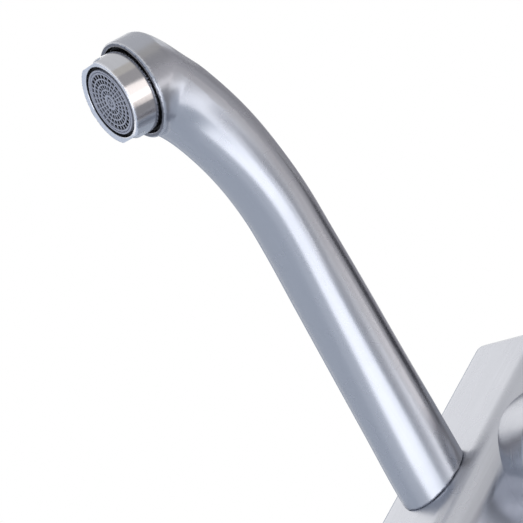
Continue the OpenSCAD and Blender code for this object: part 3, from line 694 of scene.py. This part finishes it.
def dress_frame():
    """Gives each CAD node the finish of its kind."""
    nickel = brushed("nickel_upright", NICKEL, 0.27, "object", (1300, 1300, 25), spread=0.09)
    turned = brushed("nickel_turned", NICKEL, 0.24, "object", (1500, 1500, 1500))
    steel = brushed("steel", (0.55, 0.56, 0.58), 0.3, "object", (1200, 1200, 1200))
    brass = brushed("brass", (0.72, 0.55, 0.26), 0.3, "object", (1200, 1200, 1200))
    rubber = moulded("rubber", (0.018, 0.018, 0.02), 0.55)
    grey = moulded("grey_plastic", (0.30, 0.32, 0.40), 0.38)
    white = moulded("white_plastic", (0.78, 0.78, 0.75), 0.4)
    # Painted shade: the aerator's mixer, behind the spray face's slots, is near-black to stand
    # for the shade there.
    dark = moulded("dark_plastic", (0.008, 0.008, 0.01), 0.6)
    blue = moulded("blue_plastic", (0.10, 0.22, 0.42), 0.4)
    ceramic = moulded("ceramic", (0.84, 0.82, 0.76), 0.15)
    kinds = {
        nickel: ("column", "spout_arm", "base_flange", "lever_handle"),
        turned: ("aerator_housing", "dome_cover"),
        steel: ("mounting_stud", "horseshoe_plate", "aerator_screen", "stem_pin",
                "lever_stem", "set_screw"),
        brass: ("stud_nut", "cartridge_nut"),
        rubber: ("base_gasket", "horseshoe_gasket", "aerator_washer", "inlet_seals",
                 "outlet_seal", "stem_o_ring"),
        grey: ("aerator_insert", "cartridge_housing"),
        dark: ("aerator_mixer",),
        white: ("cartridge_base", "rotor"),
        blue: ("flow_restrictor", "disc_carrier"),
        ceramic: ("fixed_disc", "moving_disc"),
    }
    for material, names in kinds.items():
        for name in names:
            wear(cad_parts[name], material)
    hot_and_cold(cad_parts["index_plug"])


def build_arm():
    """Spout arm with its outlet, as one soft casting."""
    arm = solid_from("spout_arm_casting", arm_field, ARM_BOX, ARM_CELL)
    grain_vectors(arm, arm_grain)
    wear(arm, brushed("nickel_arm", NICKEL, 0.27, "grain", (60, 2400, 2400)))
    # Painted shade: the outlet's rim face wears a darker copy of the arm's nickel.
    rim = brushed("nickel_rim_painted_shade", (0.22, 0.22, 0.245), 0.3, "object", (1500, 1500, 1500))
    refinish(arm, rim, lambda high, radius: high < RIM_FACE)

    def in_bores(high, radius):
        """Walls and steps of the recess, the thread and the chamber."""
        bore_r = np.where(high < RECESS_DEPTH + SLACK, RECESS_R, THREAD_R)
        return (high > SHADE_FROM) & (high < CHAMBER_TOP) & (radius < bore_r + SLACK)

    # Painted shade: the bores' walls and steps inside the outlet are near-black.
    paint_shade(arm, in_bores)
    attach(arm, "faucet")
    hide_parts("spout_arm")


def build_collar():
    """Collar of the aerator, with its small edges and a lamp of its own."""
    collar = solid_from("aerator_collar", housing_field, OUTLET_RING + COLLAR_BOX, COLLAR_CELL)
    grain_vectors(collar, collar_grain)
    along_lathe = (60, 2600, 2600)
    bright = brushed("bright_collar", (0.66, 0.66, 0.68), 0.15, "grain", along_lathe, spread=0.12)
    wear(collar, bright)
    # Painted highlight: the collar's lip wears a lighter, bluer copy of the collar's metal.
    lip = brushed("lip_painted_highlight", (0.84, 0.85, 0.90), 0.2, "grain", along_lathe)
    refinish(collar, lip, lambda high, radius: high < LIP_FACE - COLLAR_REACH)
    # Painted shade: the faces inside the collar's mouth and bore are near-black.
    paint_shade(collar, lambda high, radius: (radius < MOUTH_R + SLACK)
           & (high > SHADE_FROM - COLLAR_REACH))
    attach(collar, "faucet")
    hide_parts("aerator_housing")
    light_alone(bpy.data.objects["collar_light"], collar)


def build_spray_face():
    """Spray face of the aerator, with its slots."""
    middle = OUTLET_RING - OUTLET_UP * COLLAR_REACH
    spray = solid_from("spray_face", insert_field, middle + SPRAY_BOX, SPRAY_CELL)
    wear(spray, moulded("spray_plastic", (0.36, 0.37, 0.43), 0.36))
    lit = INSERT_RECESS + SLOT_LIT - COLLAR_REACH
    # Painted shade: the slots' walls below the spray face's front are near-black.
    paint_shade(spray, lambda high, radius: (high > lit) & (radius < INSERT_OUTER_R))
    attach(spray, "faucet")
    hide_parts("aerator_insert")


def build_handle():
    """Handle as one casting, with the lever blended into the hub."""
    handle = solid_from("lever_casting", handle_field, HANDLE_BOX, HANDLE_CELL)
    grain_vectors(handle, handle_grain)
    wear(handle, brushed("nickel_handle", NICKEL, 0.25, "grain", (25, 1300, 1300), spread=0.09))
    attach(handle, "lever")
    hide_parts("lever_handle")


def outwards(azimuth, elevation):
    """Unit vector from the spout to this side, from angles in degrees."""
    azimuth, elevation = math.radians(azimuth), math.radians(elevation)
    return Vector((math.sin(azimuth) * math.cos(elevation),
                   -math.cos(azimuth) * math.cos(elevation), math.sin(elevation)))


def set_camera():
    """Puts the camera where the photograph was taken from."""
    back = outwards(CAMERA_AZIMUTH, CAMERA_ELEVATION)
    level = outwards(CAMERA_AZIMUTH + 90, 0)
    right = Matrix.Rotation(math.radians(CAMERA_ROLL), 3, back) @ level
    up = back.cross(right)
    focal = PIXELS_PER_METRE * CAMERA_DISTANCE
    off_right = (OUTLET_PIXEL[0] - PHOTO_SIZE / 2) / focal
    off_up = (PHOTO_SIZE / 2 - OUTLET_PIXEL[1]) / focal
    ray = right * off_right + up * off_up - back
    data = bpy.data.cameras.new("photo_camera")
    data.sensor_width = SENSOR
    data.lens = focal / PHOTO_SIZE * SENSOR
    data.clip_start, data.clip_end = CAMERA_NEAR, CAMERA_FAR
    camera = bpy.data.objects.new("photo_camera", data)
    bpy.context.scene.collection.objects.link(camera)
    place = Vector(OUTLET_RING) - ray * CAMERA_DISTANCE
    turn = Matrix((right, up, back)).transposed()
    camera.matrix_world = Matrix.Translation(place) @ turn.to_4x4()
    bpy.context.scene.camera = camera


def softbox(name, place, target, size, level, colour=(1, 1, 1)):
    """Soft area lamp at this place, facing the target, whose face has this brightness."""
    data = bpy.data.lights.new(name, "AREA")
    data.shape = "RECTANGLE"
    data.size, data.size_y = size
    data.energy = level * math.pi * size[0] * size[1]
    data.color = colour
    lamp = bpy.data.objects.new(name, data)
    bpy.context.scene.collection.objects.link(lamp)
    lamp.location = place
    lamp.rotation_mode = "QUATERNION"
    lamp.rotation_quaternion = (Vector(place) - Vector(target)).to_track_quat("Z", "Y")
    lamp.visible_camera = False


def light_alone(lamp, obj):
    """Lets a lamp light this object alone."""
    lit = bpy.data.collections.new(lamp.name)
    lit.objects.link(obj)
    lamp.light_linking.receiver_collection = lit


def card(name, azimuths, elevations, distances, level, middle=SPOUT_MIDDLE):
    """Toned card that shows only in the metal's reflections, between two azimuths and two
    elevations, at one distance from the middle for its lower edge and one for its upper."""
    shares = np.linspace(0, 1, CARD_POINTS)
    corners = []
    for up in shares:
        elevation = elevations[0] + (elevations[1] - elevations[0]) * up
        distance = distances[0] + (distances[1] - distances[0]) * up
        for along in shares:
            azimuth = azimuths[0] + (azimuths[1] - azimuths[0]) * along
            corners.append(middle + outwards(azimuth, elevation) * distance)
    cells = range(CARD_POINTS - 1)
    firsts = [row * CARD_POINTS + k for row in cells for k in cells]
    faces = [(k, k + 1, k + 1 + CARD_POINTS, k + CARD_POINTS) for k in firsts]
    mesh = bpy.data.meshes.new(name)
    mesh.from_pydata(corners, [], faces)
    board = bpy.data.objects.new(name, mesh)
    bpy.context.scene.collection.objects.link(board)
    board.visible_camera = False
    board.visible_diffuse = False
    board.visible_shadow = False
    glow = Finish(name)
    glow.even("Base Color", (0, 0, 0, 1))
    glow.even("Specular IOR Level", 0)
    glow.even("Emission Color", (*level, 1))
    glow.even("Emission Strength", 1)
    wear(board, glow.material)


def light_studio():
    """Soft lamps round the spout, and the toned cards that its metal mirrors. The key and the
    fill look straight up, but for a millimetre that settles which way their sides run."""
    softbox("key", (0.31, -0.18, -0.30), (0.31, -0.179, 0.1), (0.58, 0.26), 1.5)
    softbox("top", (0.4, -0.6, 0.9), SPOUT_MIDDLE, (0.8, 0.8), 0.35)
    softbox("left", (-0.9, -0.4, 0.45), SPOUT_MIDDLE, (0.7, 0.9), 0.3)
    softbox("fill", (-0.12, -0.20, -0.33), (-0.12, -0.199, 0.1), (0.28, 0.3), 0.15)
    softbox("collar_light", (0.133, -0.101, 0.149), OUTLET_RING, (0.15, 0.06), 0.9,
            (1.0, 0.9, 0.82))
    card("card_front", (-72, 25), (28, 66), (1.0, 1.0), (0.70, 0.71, 0.73))
    card("card_middle", (25, 52), (28, 66), (1.0, 1.0), (0.58, 0.56, 0.53))
    card("card_right", (52, 84), (24, 66), (1.0, 1.0), (0.42, 0.41, 0.42))
    card("card_gap", (84, 101), (-28, 10), (0.7, 1.2), (0.42, 0.43, 0.46))
    card("card_side", (104, 117), (-36, 6), (0.72, 1.2), (2.2, 2.22, 2.3))
    card("card_nose", (96, 107), (-42, -16), (0.1, 0.1), (1.9, 1.92, 1.98), NOSE_SIDE)
    card("card_warm", (110, 123), (11, 30), (1.0, 1.1), (1.6, 1.54, 1.52))
    card("card_high", (84, 134), (36, 66), (1.0, 1.0), (0.56, 0.55, 0.57))
    card("card_top", (52, 266), (66, 88), (1.0, 1.0), (0.42, 0.41, 0.43))
    card("card_over", (182, 266), (44, 66), (1.0, 1.0), (0.40, 0.39, 0.42))
    card("card_grey", (84, 126), (14, 36), (1.4, 1.4), (0.62, 0.60, 0.61))
    card("card_back", (124, 182), (-4, 32), (1.1, 1.1), (0.30, 0.30, 0.32))
    card("card_dark", (132, 182), (41, 65), (0.6, 0.6), (0.03, 0.03, 0.04))
    card("card_left", (-175, -92), (-2, 30), (1.1, 1.1), (0.42, 0.47, 0.56))


def set_world():
    """White where the camera looks and where metal or glass shows it, and softer as light."""
    world = bpy.data.worlds.new("studio")
    bpy.context.scene.world = world
    world.use_nodes = True
    tree = world.node_tree
    path = tree.nodes.new("ShaderNodeLightPath")
    seen = path.outputs["Is Camera Ray"]
    for ray in ("Is Glossy Ray", "Is Transmission Ray"):
        either = tree.nodes.new("ShaderNodeMath")
        either.operation = "MAXIMUM"
        tree.links.new(seen, either.inputs[0])
        tree.links.new(path.outputs[ray], either.inputs[1])
        seen = either.outputs[0]
    level = tree.nodes.new("ShaderNodeMapRange")
    level.inputs["To Min"].default_value = WORLD_LIGHT
    level.inputs["To Max"].default_value = WORLD_SEEN
    tree.links.new(seen, level.inputs["Value"])
    background = tree.nodes["Background"]
    background.inputs["Color"].default_value = (1, 1, 1, 1)
    tree.links.new(level.outputs[0], background.inputs["Strength"])


def build_floor():
    """Plain pale floor under the part."""
    mesh = bpy.data.meshes.new("floor")
    sides = ((-1, -1), (1, -1), (1, 1), (-1, 1))
    corners = [(x * FLOOR_HALF, y * FLOOR_HALF, FLOOR_Z) for x, y in sides]
    mesh.from_pydata(corners, [], [(0, 1, 2, 3)])
    floor = bpy.data.objects.new("floor", mesh)
    bpy.context.scene.collection.objects.link(floor)
    finish = Finish("floor")
    finish.even("Base Color", FLOOR_COLOUR)
    finish.even("Roughness", FLOOR_ROUGHNESS)
    wear(floor, finish.material)


bpy.context.scene.view_settings.view_transform = "Standard"
set_camera()
set_world()
light_studio()
build_floor()
dress_frame()
build_arm()
build_collar()
build_spray_face()
build_handle()
